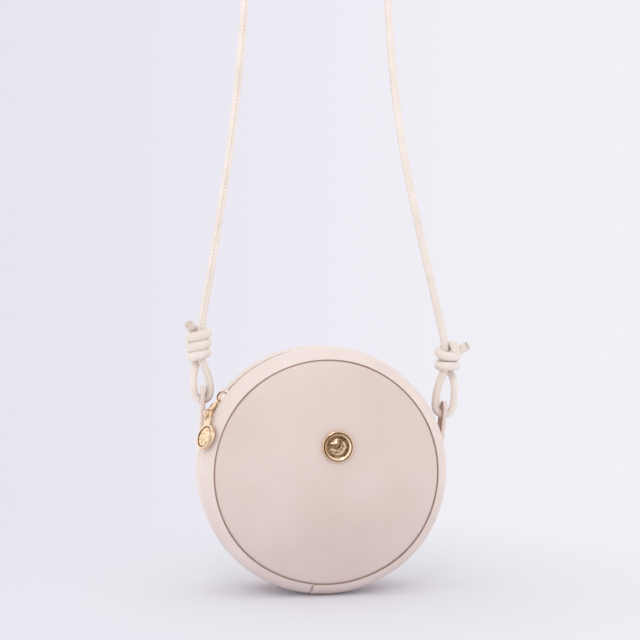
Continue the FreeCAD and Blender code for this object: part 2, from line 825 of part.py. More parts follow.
# The bag's shell
front_ring = gusset_ring()
write("gusset_front", front_ring)
write("gusset_back", behind(front_ring))
ring_foam = gusset_foam()
write("gusset_foam_front", ring_foam)
write("gusset_foam_back", behind(ring_foam))
ring_board = ring(gusset_board_bottom, gusset_board_top, -gusset_board_end, -gusset_board_start)
write("gusset_board_front", ring_board)
write("gusset_board_back", behind(ring_board))
write("gusset_strip", ring(strip_bottom, tape_top, -strip_half_width, strip_half_width,
                           strip_start_angle, strip_end_angle))
write("strip_lining", ring(strip_lining_top - lining, strip_lining_top, -strip_half_width, strip_half_width,
                           strip_start_angle, strip_end_angle))
write("front_panel", front_panel().cut(post_hole()))
write("front_foam", front_foam().cut(post_hole()).cut(washer_pocket()))
board = disc(board_radius, -board_face, -turn_in_end)
write("front_board", board)
write("back_board", behind(board))
cup = lining_cup()
write("front_lining", cup)
write("back_lining", behind(cup))
write("back_panel", back_panel())
back_foam_end = half_depth + back_rise - leather - layer_gap
write("back_foam", disc(board_radius - back_edge_roll, foam_face, back_foam_end))

# Zip
write("zip_tape_front", zip_tape(-1))
write("zip_tape_back", zip_tape(1))
write("zip_teeth_front", teeth_row(-1))
write("zip_teeth_back", teeth_row(1))
write("zip_stops", zip_stops())
slider = zip_slider()
write("zip_slider", slider)
link = pull_link()
write("zip_pull_link", link)
medal = medallion()
write("zip_pull_medallion", medal)

# Ornament and tabs
write("ornament_cup", ornament_cup())
write("ornament_inlay", ornament_inlay())
write("ornament_washer", ornament_washer())
tab = right_tab()
other_tab = tab.mirror(centre, Vector(1, 0, 0))
tab.rotate(centre, bag_axis, bag_roll + tab_lean)
other_tab.rotate(centre, bag_axis, bag_roll - tab_lean)
write("tab_right", tab.cut(tab_hole(right_hole)))
write("tab_left", other_tab.cut(tab_hole(left_hole)))

# Strap
strap_level = bag_drop + cord_radius
strap_top = [(-strap_top_half_width, strap_level), (strap_top_half_width, strap_level)]
route = in_strap_plane(left_loop, left_hole) + in_strap_plane(left_leg + strap_top + right_leg)
route += reversed(in_strap_plane(right_loop, right_hole))
strap_edges, strap_radii = rounded_route(route)
strap, strap_path = tube(strap_edges, cord_diameter)
write("strap_cord", strap)
report_tube("strap_cord", strap, strap_path, cord_diameter)
print("strap radii", [round(radius, 1) for radius in strap_radii])
left_solid, left_path = tube(knot_edges(left_knot, left_loop, left_hole), cord_diameter)
write("knot_left", left_solid)
report_tube("knot_left", left_solid, left_path, cord_diameter)
right_solid, right_path = tube(knot_edges(right_knot, right_loop, right_hole), cord_diameter)
write("knot_right", right_solid)
report_tube("knot_right", right_solid, right_path, cord_diameter)
whole_cord = path_points(left_path)[::-1] + path_points(strap_path) + path_points(right_path)
print("cord's least gap to itself, knots and strap together", round(least_gap(whole_cord), 2))

print("hanging line", [round(value, 5) for value in hang_way])
bridge_point = point_to_angle(bar_place, slider_angle)
for name, point in (("hanging middle", hang_middle), ("bridge pin", bridge_point), ("eye pin", pin_point)):
    print(name, [round(value, 3) for value in (point.x, point.y, point.z - bag_drop)])
print("eye pin way", [round(value, 5) for value in pin_way])
print("medallion to gusset", round(medal.distToShape(front_ring)[0], 2),
      "link to gusset", round(link.distToShape(front_ring)[0], 2),
      "link to medallion", round(link.distToShape(medal)[0], 2),
      "link to slider", round(link.distToShape(slider)[0], 2))
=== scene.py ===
import math
import bpy
import bmesh
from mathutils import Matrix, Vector, noise


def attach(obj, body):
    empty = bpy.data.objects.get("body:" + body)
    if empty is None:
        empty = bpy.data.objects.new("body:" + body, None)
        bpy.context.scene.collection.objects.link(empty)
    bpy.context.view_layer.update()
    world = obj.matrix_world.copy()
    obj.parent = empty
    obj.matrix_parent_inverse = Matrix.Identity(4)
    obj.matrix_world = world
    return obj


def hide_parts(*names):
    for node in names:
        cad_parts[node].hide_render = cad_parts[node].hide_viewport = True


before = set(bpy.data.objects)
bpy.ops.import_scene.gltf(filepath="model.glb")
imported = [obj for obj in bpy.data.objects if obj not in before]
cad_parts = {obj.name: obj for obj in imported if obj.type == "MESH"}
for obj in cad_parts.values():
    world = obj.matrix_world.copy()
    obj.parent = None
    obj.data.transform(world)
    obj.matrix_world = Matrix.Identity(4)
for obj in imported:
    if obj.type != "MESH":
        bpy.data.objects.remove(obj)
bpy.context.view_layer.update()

scene = bpy.context.scene
scene.view_settings.view_transform = "Standard"
mm = 0.001
bagDrop = 480.0  # middle of the bag below the top of the strap


def atBag(x, y, z):
    return Vector((x * mm, y * mm, (z - bagDrop) * mm))


def newObject(name, data):
    made = bpy.data.objects.new(name, data)
    scene.collection.objects.link(made)
    return made


# camera, as far from the bag and as high above its middle as in the photograph
cameraSetup = {"place": (-156, -988, 109), "look": (0.156, 0.988, 0), "lens": 76.5}
cameraData = bpy.data.cameras.new("photoCamera")
cameraData.lens = cameraSetup["lens"]
scene.camera = newObject("photoCamera", cameraData)
scene.camera.location = atBag(*cameraSetup["place"])
scene.camera.rotation_euler = Vector(cameraSetup["look"]).to_track_quat("-Z", "Y").to_euler()
print("camera set")


# node helpers
def addNode(tree, kind, spot, **values):
    node = tree.nodes.new(kind)
    node.location = spot
    for key, value in values.items():
        setattr(node, key, value)
    return node


def socketOf(sockets, name):
    return next(s for s in sockets if s.name == name and s.enabled)


def setInputs(node, **values):
    for key, value in values.items():
        socketOf(node.inputs, key.replace("_", " ")).default_value = value


def addSocket(tree, name, kind="Float", way="INPUT"):
    return tree.interface.new_socket(name=name, in_out=way, socket_type="NodeSocket" + kind)


def linkUp(tree, *pairs):
    for fromSocket, toSocket in pairs:
        tree.links.new(fromSocket, toSocket)


def addShare(tree, spot, first, share, second):
    # share of the first value, added to the second
    node = addNode(tree, "ShaderNodeMath", spot, operation="MULTIPLY_ADD")
    node.inputs[1].default_value = share
    linkUp(tree, (first, node.inputs[0]), (second, node.inputs[2]))
    return node.outputs[0]


def multiply(tree, spot, first, second):
    node = addNode(tree, "ShaderNodeMath", spot, operation="MULTIPLY")
    linkUp(tree, (first, node.inputs[0]), (second, node.inputs[1]))
    return node.outputs[0]


def newGroup(name, **scales):
    # a shared effect: coordinates and named scales in, tone and height out
    tree = bpy.data.node_groups.new(name, "ShaderNodeTree")
    addSocket(tree, "Coordinates", "Vector")
    for label, value in scales.items():
        addSocket(tree, label.replace("_", " ")).default_value = value
    for label in ("Tone", "Height"):
        addSocket(tree, label, way="OUTPUT")
    given = addNode(tree, "NodeGroupInput", (-800, 0)).outputs
    result = addNode(tree, "NodeGroupOutput", (600, 0)).inputs
    return tree, given, result


# leather grain: pores and creases at a fine scale, with slow clouds of tone
def makeGrainGroup():
    tree, given, result = newGroup("leatherGrain", Pore_Scale=900.0, Cloud_Scale=30.0)
    shares = {"pores": 0.6, "grain": 0.25}
    pores = addNode(tree, "ShaderNodeTexVoronoi", (-500, 200), feature="SMOOTH_F1")
    setInputs(pores, Smoothness=0.6)
    creases = addNode(tree, "ShaderNodeTexNoise", (-500, -50))
    setInputs(creases, Detail=4.0, Roughness=0.6)
    clouds = addNode(tree, "ShaderNodeTexNoise", (-500, -300))
    setInputs(clouds, Detail=3.0, Roughness=0.5)
    for texture, scale in ((pores, "Pore Scale"), (creases, "Pore Scale"), (clouds, "Cloud Scale")):
        linkUp(tree, (given["Coordinates"], texture.inputs["Vector"]), (given[scale], texture.inputs["Scale"]))
    grain = addShare(tree, (-200, 100), pores.outputs["Distance"], shares["pores"], creases.outputs[0])
    tone = addShare(tree, (0, -200), grain, shares["grain"], clouds.outputs[0])
    linkUp(tree, (tone, result["Tone"]), (grain, result["Height"]))
    return tree


# plain weave: warp and weft threads
def makeWeaveGroup():
    tree, given, result = newGroup("plainWeave", Threads=1500.0)
    waves = []
    for row, direction in enumerate(("X", "Y")):
        wave = addNode(tree, "ShaderNodeTexWave", (-500, 200 - 300 * row), bands_direction=direction)
        setInputs(wave, Distortion=0.6, Detail=1.0)
        linkUp(tree, (given["Coordinates"], wave.inputs["Vector"]), (given["Threads"], wave.inputs["Scale"]))
        waves.append(wave.outputs["Fac"])
    height = multiply(tree, (-200, 0), *waves)
    linkUp(tree, (height, result["Tone"]), (height, result["Height"]))
    return tree


# polished plate: faint rubbed streaks and duller spots
def makePolishGroup():
    tree, given, result = newGroup("rubbedPlate", Streak_Scale=900.0)
    stretch = addNode(tree, "ShaderNodeMapping", (-650, 0))
    setInputs(stretch, Scale=(1.0, 1.0, 0.12))
    streaks = addNode(tree, "ShaderNodeTexNoise", (-450, 100))
    setInputs(streaks, Detail=3.0, Roughness=0.7)
    spots = addNode(tree, "ShaderNodeTexNoise", (-450, -150))
    setInputs(spots, Scale=160.0, Detail=2.0)
    share = 0.5  # of each texture in the tone
    half = addNode(tree, "ShaderNodeMath", (-250, -150), operation="MULTIPLY")
    half.inputs[1].default_value = share
    tone = addShare(tree, (-100, 0), streaks.outputs[0], share, half.outputs[0])
    linkUp(tree, (given["Coordinates"], stretch.inputs["Vector"]), (stretch.outputs[0], streaks.inputs["Vector"]),
           (given["Streak Scale"], streaks.inputs["Scale"]), (given["Coordinates"], spots.inputs["Vector"]),
           (spots.outputs[0], half.inputs[0]), (tone, result["Tone"]), (streaks.outputs[0], result["Height"]))
    return tree


# hammered plate: small dents side by side, darker in the hollows as painted shade
def makeHammerGroup():
    tree, given, result = newGroup("hammeredPlate", Dent_Scale=420.0)
    hollows = addNode(tree, "ShaderNodeTexVoronoi", (-500, 100), feature="SMOOTH_F1")
    setInputs(hollows, Smoothness=0.35, Randomness=0.9)
    wear = addNode(tree, "ShaderNodeTexNoise", (-500, -200))
    setInputs(wear, Scale=240.0, Detail=3.0)
    tone = multiply(tree, (-200, 0), hollows.outputs["Distance"], wear.outputs[0])
    linkUp(tree, (given["Coordinates"], hollows.inputs["Vector"]), (given["Dent Scale"], hollows.inputs["Scale"]),
           (given["Coordinates"], wear.inputs["Vector"]), (tone, result["Tone"]),
           (hollows.outputs["Distance"], result["Height"]))
    return tree


grainGroup = makeGrainGroup()
weaveGroup = makeWeaveGroup()
polishGroup = makePolishGroup()
hammerGroup = makeHammerGroup()


def finishMaterial(name, group, look):
    material = bpy.data.materials.new(name)
    material.use_nodes = True
    tree = material.node_tree
    shader = tree.nodes["Principled BSDF"]
    coordinates = addNode(tree, "ShaderNodeTexCoord", (-1000, 0))
    effect = addNode(tree, "ShaderNodeGroup", (-800, 0), node_tree=group)
    setInputs(effect, **look.get("scales", {}))
    low, high = look["toneRange"]
    colour = addNode(tree, "ShaderNodeValToRGB", (-500, 200))
    for element, position, tint in zip(colour.color_ramp.elements, (low, high), (look["dark"], look["light"])):
        element.position = position
        element.color = (*tint, 1)
    roughness = addNode(tree, "ShaderNodeMapRange", (-500, -100))
    setInputs(roughness, From_Min=low, From_Max=high, To_Min=look["roughness"][0], To_Max=look["roughness"][1])
    bump = addNode(tree, "ShaderNodeBump", (-300, -300))
    setInputs(bump, Strength=look["bump"][0], Distance=look["bump"][1])
    setInputs(shader, **look.get("shader", {}))
    linkUp(tree, (coordinates.outputs[look.get("map", "Object")], effect.inputs["Coordinates"]),
           (effect.outputs["Tone"], colour.inputs[0]), (colour.outputs[0], shader.inputs["Base Color"]),
           (effect.outputs["Tone"], roughness.inputs["Value"]), (roughness.outputs[0], shader.inputs["Roughness"]),
           (effect.outputs["Height"], bump.inputs["Height"]), (bump.outputs[0], shader.inputs["Normal"]))
    return material


# what the smooth leathers, the cloths and the metals have in common, then each finish
smoothLeather = {"toneRange": (0.3, 0.9),
                 "shader": {"Specular IOR Level": 0.35, "Sheen Weight": 0.08, "Sheen Roughness": 0.4}}
cloth = {"toneRange": (0.0, 1.0), "bump": (0.6, 0.0002), "map": "UV"}
metal = {"toneRange": (0.2, 0.8), "bump": (0.05, 0.0001), "shader": {"Metallic": 1.0}}
looks = {
    "panelLeather": (grainGroup, smoothLeather | {
        "dark": (0.664, 0.536, 0.497), "light": (0.755, 0.634, 0.596), "roughness": (0.42, 0.52),
        "bump": (0.25, 0.0002), "scales": {"Pore Scale": 1100.0, "Cloud Scale": 18.0}}),
    "rimLeather": (grainGroup, smoothLeather | {
        "dark": (0.735, 0.608, 0.571), "light": (0.832, 0.714, 0.679), "roughness": (0.38, 0.48),
        "bump": (0.22, 0.0002), "scales": {"Pore Scale": 1000.0, "Cloud Scale": 22.0}}),
    "cordLeather": (grainGroup, smoothLeather | {
        "dark": (0.740, 0.637, 0.588), "light": (0.856, 0.780, 0.738), "roughness": (0.40, 0.52),
        "bump": (0.35, 0.0002), "scales": {"Pore Scale": 900.0, "Cloud Scale": 60.0}}),
    "threadCream": (weaveGroup, {
        "dark": (0.60, 0.46, 0.39), "light": (0.74, 0.60, 0.52), "toneRange": (0.0, 1.0),
        "roughness": (0.6, 0.8), "bump": (0.4, 0.0001), "scales": {"Threads": 2500.0}}),
    "zipTape": (weaveGroup, cloth | {
        "dark": (0.42, 0.30, 0.20), "light": (0.62, 0.48, 0.36), "roughness": (0.7, 0.9),
        "scales": {"Threads": 600.0}}),
    "liningTwill": (weaveGroup, cloth | {
        "dark": (0.55, 0.45, 0.37), "light": (0.74, 0.64, 0.55), "roughness": (0.75, 0.95),
        "scales": {"Threads": 500.0}}),
    "foamPadding": (grainGroup, {
        "dark": (0.70, 0.69, 0.64), "light": (0.86, 0.85, 0.80), "toneRange": (0.2, 1.0),
        "roughness": (0.85, 0.95), "bump": (0.8, 0.0006), "scales": {"Pore Scale": 500.0}}),
    "leatherBoard": (grainGroup, {
        "dark": (0.36, 0.27, 0.19), "light": (0.50, 0.40, 0.30), "toneRange": (0.2, 1.0),
        "roughness": (0.7, 0.85), "bump": (0.5, 0.0003), "scales": {"Pore Scale": 700.0}}),
    # brown of painted leather edges, also used as painted shade in the panel seams' grooves and on the tabs' inner
    # faces
    "edgePaintAndShade": (grainGroup, {
        "dark": (0.38, 0.24, 0.18), "light": (0.50, 0.35, 0.28), "toneRange": (0.3, 0.9),
        "roughness": (0.6, 0.8), "bump": (0.2, 0.0001)}),
    "paleGold": (polishGroup, metal | {
        "dark": (0.70, 0.50, 0.33), "light": (0.91, 0.73, 0.54), "roughness": (0.08, 0.18)}),
    # the darker tone in the dents' hollows is painted shade
    "hammeredGold": (hammerGroup, metal | {
        "dark": (0.42, 0.27, 0.16), "light": (0.90, 0.69, 0.48), "toneRange": (0.04, 0.26),
        "roughness": (0.16, 0.30), "bump": (0.2, 0.0004), "scales": {"Dent Scale": 380.0}}),
    # near-black gold: painted shade for the dark ring in the medallion's groove
    "paintedGrooveShade": (polishGroup, metal | {
        "dark": (0.09, 0.065, 0.045), "light": (0.20, 0.15, 0.11), "roughness": (0.30, 0.45)}),
    "cutLeather": (grainGroup, {
        "dark": (0.54, 0.42, 0.36), "light": (0.68, 0.55, 0.48), "toneRange": (0.3, 0.9),
        "roughness": (0.6, 0.8), "bump": (0.3, 0.0002)}),
    "zipBrass": (polishGroup, metal | {
        "dark": (0.50, 0.34, 0.18), "light": (0.74, 0.56, 0.34), "roughness": (0.22, 0.36)}),
    "pressedSteel": (polishGroup, metal | {
        "dark": (0.45, 0.45, 0.45), "light": (0.65, 0.65, 0.65), "roughness": (0.3, 0.45)}),
}
finishes = {name: finishMaterial(name, group, look) for name, (group, look) in looks.items()}
print("finishes made:", len(finishes))


# pieces
sharpAngles = {"plain": 40, "tab": 50}


def place(name, mesh, finish, body, nodes=()):
    piece = newObject(name, mesh)
    mesh.name = name
    mesh.materials.clear()
    mesh.materials.append(finishes[finish])
    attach(piece, body)
    if nodes:
        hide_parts(*nodes)
    return piece


def meshFrom(bm):
    bmesh.ops.recalc_face_normals(bm, faces=bm.faces)
    mesh = bpy.data.meshes.new("blank")
    bm.to_mesh(mesh)
    bm.free()
    for polygon in mesh.polygons:
        polygon.use_smooth = True
    mesh.set_sharp_from_angle(angle=math.radians(sharpAngles["plain"]))
    return mesh


def ringMesh(rings, closed=False):
    # rings of points in mm from the middle of the bag, each joined to the next
    bm = bmesh.new()
    verts = [[bm.verts.new(atBag(*spot)) for spot in ring] for ring in rings]
    for near, far in zip(verts, verts[1:] + verts[:1] if closed else verts[1:]):
        for index in range(len(near)):
            after = (index + 1) % len(near)
            bm.faces.new([near[index], near[after], far[after], far[index]])
    if not closed:
        bm.faces.new(verts[0])
        bm.faces.new(verts[-1])
    return meshFrom(bm)


def circlePoints(middle, axis, radius, count):
    across = axis.orthogonal().normalized()
    upward = axis.normalized().cross(across)
    turns = [2 * math.pi * part / count for part in range(count)]
    return [middle + (across * math.cos(turn) + upward * math.sin(turn)) * radius for turn in turns]


settle = {"from": 40.0, "over": 45.0, "rise": 1.7}  # the bag's foot gives a little on the floor


def settled(x, depth, z):
    share = min(1, max(0, (-z - settle["from"]) / settle["over"]))
    return atBag(x, depth, z + settle["rise"] * share * share * (3 - 2 * share))


def lathe(section, steps, start=0, end=360, shift=None):
    # section: (radius, depth) in mm round an axis along Y; angles run from +X over the top
    bm = bmesh.new()
    uvLayer = bm.loops.layers.uv.new("wrap")
    whole = end - start >= 360
    solid = section[0][0] == 0 and section[-1][0] == 0
    poles = {}
    along = [0]
    for (r0, y0), (r1, y1) in zip(section, section[1:] + section[:1]):
        along.append(along[-1] + math.hypot(r1 - r0, y1 - y0) * mm)
    rings = []
    for step in range(steps if whole else steps + 1):
        angle = math.radians(start + (end - start) * step / steps)
        ring = []
        for index, (radius, depth) in enumerate(section):
            if radius == 0 and index in poles:
                ring.append(poles[index])
                continue
            out, back = shift(angle, radius, depth) if shift else (0, 0)
            vert = bm.verts.new(settled(
                (radius + out) * math.cos(angle), depth + back, (radius + out) * math.sin(angle)))
            if radius == 0:
                poles[index] = vert
            ring.append(vert)
        rings.append(ring)
    count = len(section)
    widest = max(r for r, y in section) * mm
    for step in range(steps):
        near = rings[step]
        far = rings[(step + 1) % len(rings)]
        for index in range(count - 1 if solid else count):
            after = (index + 1) % count
            corners = {}
            for vert, s, i in ((near[index], step, index), (near[after], step, index + 1),
                               (far[after], step + 1, index + 1), (far[index], step + 1, index)):
                corners.setdefault(vert, (s, i))
            face = bm.faces.new(list(corners))
            for loop, (s, i) in zip(face.loops, corners.values()):
                loop[uvLayer].uv = (math.radians((end - start) * s / steps) * widest, along[i])
    if not whole:
        bm.faces.new(rings[0])
        bm.faces.new(rings[-1])
    return meshFrom(bm)


def arcPoints(centre, radius, start, end, steps):
    points = []
    for step in range(steps + 1):
        angle = math.radians(start + (end - start) * step / steps)
        points.append((centre[0] + radius * math.cos(angle), centre[1] + radius * math.sin(angle)))
    return points


# bag shell, sizes in mm as in the part's source
shell = {
    "radius": 90.0, "halfDepth": 35.0, "leather": 1.5, "gap": 0.1, "seamRadius": 81.0, "crest": 19.0,
    "valleyDrop": 2.4, "mouth": 5.2, "turnIn": 4.0, "joinAngle": 262.6, "rounding": 12,
    "steps": 240, "gussetSteps": 720,
}
# unevenness of the padded gusset, with its puckers at the panel seam and its crease and lip at the join
uneven = {"sway": 0.35, "swirl": 2.2, "apart": 3.0, "pucker": 0.10, "puckerCount": 46, "puckerDrift": 3,
          "seamFrom": 24, "seamOver": 11, "crease": 0.8, "creaseWidth": 0.4, "lip": 0.35, "lipPlace": 1.4,
          "lipWidth": 0.9}
turnInEnd = shell["halfDepth"] - shell["turnIn"]
rollReach = shell["halfDepth"] - shell["crest"]
rollWidth = shell["radius"] - shell["seamRadius"]
rollRadius = (rollReach**2 + rollWidth**2) / (2 * rollWidth)
fallReach = shell["crest"] - shell["mouth"]
fallRadius = (fallReach**2 + shell["valleyDrop"]**2) / (2 * shell["valleyDrop"])


def gussetRadius(depth, inset=0):
    radius = rollRadius if depth < -shell["crest"] else fallRadius
    return shell["radius"] - radius + math.sqrt((radius - inset)**2 - (depth + shell["crest"])**2)


def gussetLine(start, end, inset, steps):
    depths = [start + (end - start) * step / steps for step in range(steps + 1)]
    return [(gussetRadius(depth, inset), depth) for depth in depths]


def onSide(side, section):
    # sections are drawn for the front half, and turned over for the back
    return [(r, -side * y) for r, y in section]


def boxSection(inner, outer, near, far):
    return [(inner, near), (outer, near), (outer, far), (inner, far)]


def gussetShift(side):
    def shift(angle, radius, depth):
        swirl = noise.noise(Vector((uneven["swirl"] * math.cos(angle), uneven["swirl"] * math.sin(angle),
                                    uneven["apart"] * side)))
        atSeam = max(0, (abs(depth) - uneven["seamFrom"]) / uneven["seamOver"])
        waves = math.cos(uneven["puckerCount"] * angle + uneven["puckerDrift"] * swirl)
        pucker = waves * atSeam * (1 - atSeam) * 4  # a hump of height 1 beside the seam
        offset = (math.degrees(angle) - shell["joinAngle"] + 180) % 360 - 180
        crease = math.exp(-(offset / uneven["creaseWidth"])**2) * uneven["crease"]
        lip = math.exp(-((offset - uneven["lipPlace"]) / uneven["lipWidth"])**2) * uneven["lip"]
        return uneven["sway"] * swirl + uneven["pucker"] * pucker - crease + lip, 0
    return shift


def gussetSection():
    inner = shell["seamRadius"] + shell["leather"]
    fold = -shell["crest"] - math.sqrt((rollRadius - shell["leather"])**2
                                       - (inner - shell["radius"] + rollRadius)**2)
    steps = shell["rounding"]
    outside = gussetLine(-shell["halfDepth"], -shell["crest"], 0, 2 * steps)
    outside += gussetLine(-shell["crest"], -shell["mouth"], 0, steps)[1:]
    inside = gussetLine(-shell["mouth"], -shell["crest"], shell["leather"], steps)
    inside += gussetLine(-shell["crest"], fold, shell["leather"], steps)[1:]
    return [(shell["seamRadius"], -turnInEnd)] + outside + inside + [(inner, -turnInEnd)]


sides = ((-1, "front"), (1, "back"))
for side, label in sides:
    mesh = lathe(onSide(side, gussetSection()), shell["gussetSteps"], shift=gussetShift(side))
    place("gussetLeather_" + label, mesh, "rimLeather", "bag", ["gusset_" + label])

# zip-tape facings along the zip's mouth, there mainly as painted shade of the slit between the gusset rings, and the
# sewn join of the gusset
mouthFacingShade = {"span": (29.5, 152.5), "width": 2.6, "proud": 0.08, "buried": 0.3, "steps": 240}
join = {"halfWidth": 0.22, "top": -34.95, "foot": -30.0, "proud": 0.03, "buried": 0.6, "beside": 3.0, "steps": 4}
bandSteps = 6


def bandSection(start, end, sizes):
    outside = gussetLine(start, end, -sizes["proud"], bandSteps)
    return outside + gussetLine(end, start, sizes["buried"], bandSteps)


# brown facings of zip-tape colour each side of the mouth: painted shade of the slit
for side, label in sides:
    section = onSide(side, bandSection(-shell["mouth"] - mouthFacingShade["width"], -shell["mouth"], mouthFacingShade))
    mesh = lathe(section, mouthFacingShade["steps"], *mouthFacingShade["span"], shift=gussetShift(side))
    place("zipFacingShade_" + label, mesh, "zipTape", "bag")


def besideJoin(angle, radius, depth):
    return gussetShift(-1)(angle + math.radians(join["beside"]), radius, depth)


mesh = lathe(bandSection(join["top"], join["foot"], join), join["steps"], shell["joinAngle"] - join["halfWidth"],
             shell["joinAngle"] + join["halfWidth"], shift=besideJoin)
place("gussetJoin", mesh, "edgePaintAndShade", "bag")
print("gusset made")

# panels
panels = {"seamGap": 0.6, "frontRise": 7.0, "frontRoll": 3.0, "backRise": 2.5, "setback": 1.0, "steps": 180,
          "board": 1.2, "boardGap": 0.3, "sag": 0.25, "sagScale": 38, "sagApart": 5.0, "sagEdge": 14,
          "pillow": 1.2, "pillowStart": 60.0, "pillowFoot": 3.0, "domeSteps": 26, "flatSteps": 16, "rollSteps": (8, 6),
          "backRollSteps": (10, 8)}
panelRadius = shell["seamRadius"] - panels["seamGap"]
edgeDepth = shell["halfDepth"] - panels["setback"]
rollCentre = (panelRadius - panels["frontRoll"], -edgeDepth)
domeHeight = panels["frontRise"] + panels["setback"]
domeRadius = (rollCentre[0]**2 + domeHeight**2 - panels["frontRoll"]**2) / (
    2 * (domeHeight - panels["frontRoll"]))
domeCentre = -shell["halfDepth"] - panels["frontRise"] + domeRadius
domeAngle = math.degrees(math.atan2(-edgeDepth - domeCentre, rollCentre[0]))


def domeDepth(radius, inset=0):
    return domeCentre - math.sqrt((domeRadius - inset)**2 - radius**2)


def domeEnd(inset):
    return rollCentre[0] + (panels["frontRoll"] - inset) * math.cos(math.radians(domeAngle))


def domeLine(inset, steps):
    radii = [domeEnd(inset) * step / steps for step in range(steps + 1)]
    return [(radius, domeDepth(radius, inset)) for radius in radii]


def panelShift(side):
    def shift(angle, radius, depth):
        # the panel's padding lies a little uneven, and draws in towards the seam
        x = radius * math.cos(angle) / panels["sagScale"]
        z = radius * math.sin(angle) / panels["sagScale"]
        soft = noise.noise(Vector((x, z, panels["sagApart"] * side)))
        inward = min(1, max(0, (panelRadius - radius) / panels["sagEdge"]))
        edge = max(0, (radius - panels["pillowStart"]) / (panelRadius - panels["pillowStart"]))
        reach = min(1, max(0, (abs(depth) - turnInEnd) / panels["pillowFoot"]))
        return 0, side * (panels["sag"] * soft * inward - panels["pillow"] * edge * edge * reach)
    return shift


leather = shell["leather"]
outSteps, inSteps = panels["rollSteps"]
frontSection = domeLine(0, panels["domeSteps"])
frontSection += arcPoints(rollCentre, panels["frontRoll"], domeAngle, 0, outSteps)[1:]
frontSection += [(panelRadius, -turnInEnd), (panelRadius - leather, -turnInEnd)]
frontSection += arcPoints(rollCentre, panels["frontRoll"] - leather, 0, domeAngle, inSteps)
frontSection += list(reversed(domeLine(leather, panels["domeSteps"])))[1:]
mesh = lathe(frontSection, panels["steps"], shift=panelShift(-1))
place("frontPanelLeather", mesh, "panelLeather", "bag", ["front_panel"])

backRoll = panels["backRise"] + panels["setback"]
backCentre = (panelRadius - backRoll, edgeDepth)
backLevel = shell["halfDepth"] + panels["backRise"]
flatRadii = [backCentre[0] * step / panels["flatSteps"] for step in range(panels["flatSteps"] + 1)]
outSteps, inSteps = panels["backRollSteps"]
backSection = [(radius, backLevel) for radius in flatRadii]
backSection += arcPoints(backCentre, backRoll, 90, 0, outSteps)[1:]
backSection += [(panelRadius, turnInEnd), (panelRadius - leather, turnInEnd)]
backSection += arcPoints(backCentre, backRoll - leather, 0, 90, inSteps)
backSection += [(radius, backLevel - leather) for radius in reversed(flatRadii[:-1])]
place("backPanelLeather", lathe(backSection, panels["steps"]), "panelLeather", "bag", ["back_panel"])

# brown strips at the bottom of the groove between panel and gusset, where the folded edges lie: painted shade of the
# groove
edgePaintAndShade = {"clear": 0.02, "drop": 0.2}
for side, label in sides:
    section = boxSection(panelRadius + edgePaintAndShade["clear"], shell["seamRadius"] - edgePaintAndShade["clear"],
                         side * (edgeDepth - edgePaintAndShade["drop"]), side * turnInEnd)
    place("seamFoldShade_" + label, lathe(section, shell["steps"]), "edgePaintAndShade", "bag")

# padding, boards and lining behind the leather
layers = {"foamThick": 4.0, "gussetBoard": 1.0, "layerStart": 11.0, "layerEnd": 28.5, "lining": 0.6,
          "liningMouth": 6.4, "stripHalf": 10.0, "stripSpan": (155.0, 386.0), "steps": 120,
          "stripSteps": 260, "stripLiningSteps": 200, "foamSteps": (8, 6), "padSteps": 18}
foamBottom = shell["radius"] - leather - shell["gap"] - layers["foamThick"]
boardTop = foamBottom - shell["gap"]
boardBottom = boardTop - layers["gussetBoard"]
liningTop = boardBottom - shell["gap"]
liningBottom = liningTop - layers["lining"]
liningFace = turnInEnd - shell["gap"]
boardFace = turnInEnd + panels["board"]
foamFace = boardFace + shell["gap"]
boardRadius = panelRadius - leather - panels["boardGap"]
inset = leather + shell["gap"]


def discSection(radius, near, far):
    return [(0, near), (radius, near), (radius, far), (0, far)]


outSteps, inSteps = layers["foamSteps"]
foamRing = gussetLine(-layers["layerEnd"], -shell["crest"], inset, outSteps)
foamRing += gussetLine(-shell["crest"], -layers["layerStart"], inset, inSteps)[1:]
foamRing += [(foamBottom, -layers["layerStart"]), (foamBottom, -layers["layerEnd"])]
liningCup = [(0, -liningFace), (liningTop, -liningFace), (liningTop, -layers["liningMouth"]),
             (liningBottom, -layers["liningMouth"]), (liningBottom, -liningFace + layers["lining"]),
             (0, -liningFace + layers["lining"])]
stay = boxSection(boardBottom, boardTop, -layers["layerEnd"], -layers["layerStart"])
board = discSection(boardRadius, -boardFace, -turnInEnd)
innerPieces = {}
for side, label in sides:
    for name, section, finish, slot, node in (
            ("gussetPadding_", foamRing, "foamPadding", "foam", "gusset_foam_" + label),
            ("gussetStay_", stay, "leatherBoard", "board", "gusset_board_" + label),
            ("panelStay_", board, "leatherBoard", "board", label + "_board"),
            ("pocketLining_", liningCup, "liningTwill", "lining", label + "_lining")):
        innerPieces[name + label] = (onSide(side, section), finish, slot, node)
frontPad = domeLine(inset, layers["padSteps"]) + [(domeEnd(inset), -foamFace), (0, -foamFace)]
backPad = discSection(boardRadius - backRoll, foamFace, backLevel - inset)
innerPieces["frontPadding"] = (frontPad, "foamPadding", "foam", "front_foam")
innerPieces["backPadding"] = (backPad, "foamPadding", "foam", "back_foam")
for name, (section, finish, slot, node) in innerPieces.items():
    shift = panelShift(-1) if name == "frontPadding" else None
    piece = place(name, lathe(section, layers["steps"], shift=shift), finish, "bag", [node])

